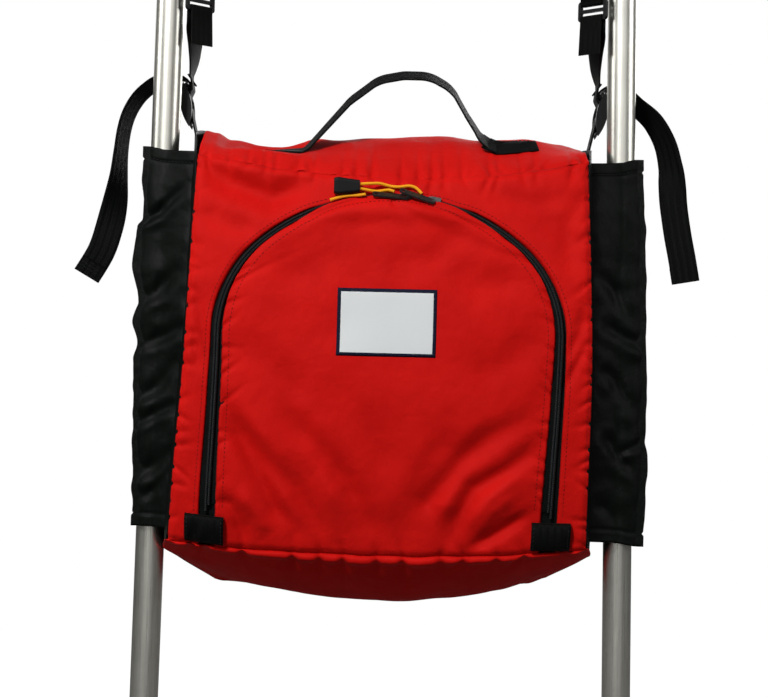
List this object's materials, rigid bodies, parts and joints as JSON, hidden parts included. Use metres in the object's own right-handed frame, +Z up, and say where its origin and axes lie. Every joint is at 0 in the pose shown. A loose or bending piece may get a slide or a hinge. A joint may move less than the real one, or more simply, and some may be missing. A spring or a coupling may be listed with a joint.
{
  "type": "sled handlebar bag",
  "caption": "Zipped fabric bag with a carry handle, slung between the tube uprights of a sled's handlebar on sleeves and adjustable webbing straps.",
  "frame": {"origin": "midway between the lower ends of the handlebar's two uprights", "axes": "+Z up along the uprights, +X across the sled, -Y towards the driver, the side with the zipped flap"},
  "size_m": [0.5653, 0.1474, 0.8571],
  "materials": {
    "tube": "drawn, lightly scratched",
    "end_cap": "moulded",
    "red_fabric": "coated nylon",
    "black_fabric": "coated nylon",
    "webbing": "woven webbing",
    "zip_tape": "coil zip",
    "label": "woven, blank",
    "buckle": "moulded",
    "slider": "zip slider",
    "pull_cord": "braided cord",
    "grip": "moulded"
  },
  "bodies": {
    "handlebar": {"crossbar": "tube", "front_panel": "red_fabric", "top_panel": "red_fabric", "back_panel": "red_fabric", "bottom_panel": "red_fabric", "zip_fixed_half": "zip_tape", "carry_handle": "webbing", "left_upright": "tube", "left_top_plug": "end_cap", "left_side_gusset": "black_fabric", "left_zip_tab": "webbing", "left_sleeve": "black_fabric", "left_corner_strap": "webbing", "left_ladder_lock": "buckle", "left_strap_tail": "webbing", "left_lock_strap": "webbing", "left_hanging_strap": "webbing", "left_sewn_end": "webbing", "left_slide_buckle": "buckle", "left_strap_bight": "webbing", "left_strap_loop": "webbing", "right_upright": "tube", "right_top_plug": "end_cap", "right_side_gusset": "black_fabric", "right_zip_tab": "webbing", "right_sleeve": "black_fabric", "right_corner_strap": "webbing", "right_ladder_lock": "buckle", "right_strap_tail": "webbing", "right_lock_strap": "webbing", "right_hanging_strap": "webbing", "right_sewn_end": "webbing", "right_slide_buckle": "buckle", "right_strap_bight": "webbing", "right_strap_loop": "webbing"},
    "flap": {"flap_panel": "red_fabric", "zip_flap_half": "zip_tape", "label_patch": "label", "lower_zip_slider": "slider", "upper_zip_slider": "slider", "pull_grip": "grip", "upper_pull_cord": "pull_cord", "lower_pull_cord": "pull_cord", "under_pull_cord": "pull_cord"}
  },
  "joints": [
    {"name": "flap_fold", "type": "hinge", "parent": "handlebar", "child": "flap", "pos_m": [0, -0.0661, 0.2776], "axis": [1, 0, 0], "range_deg": [0, 120]}
  ]
}
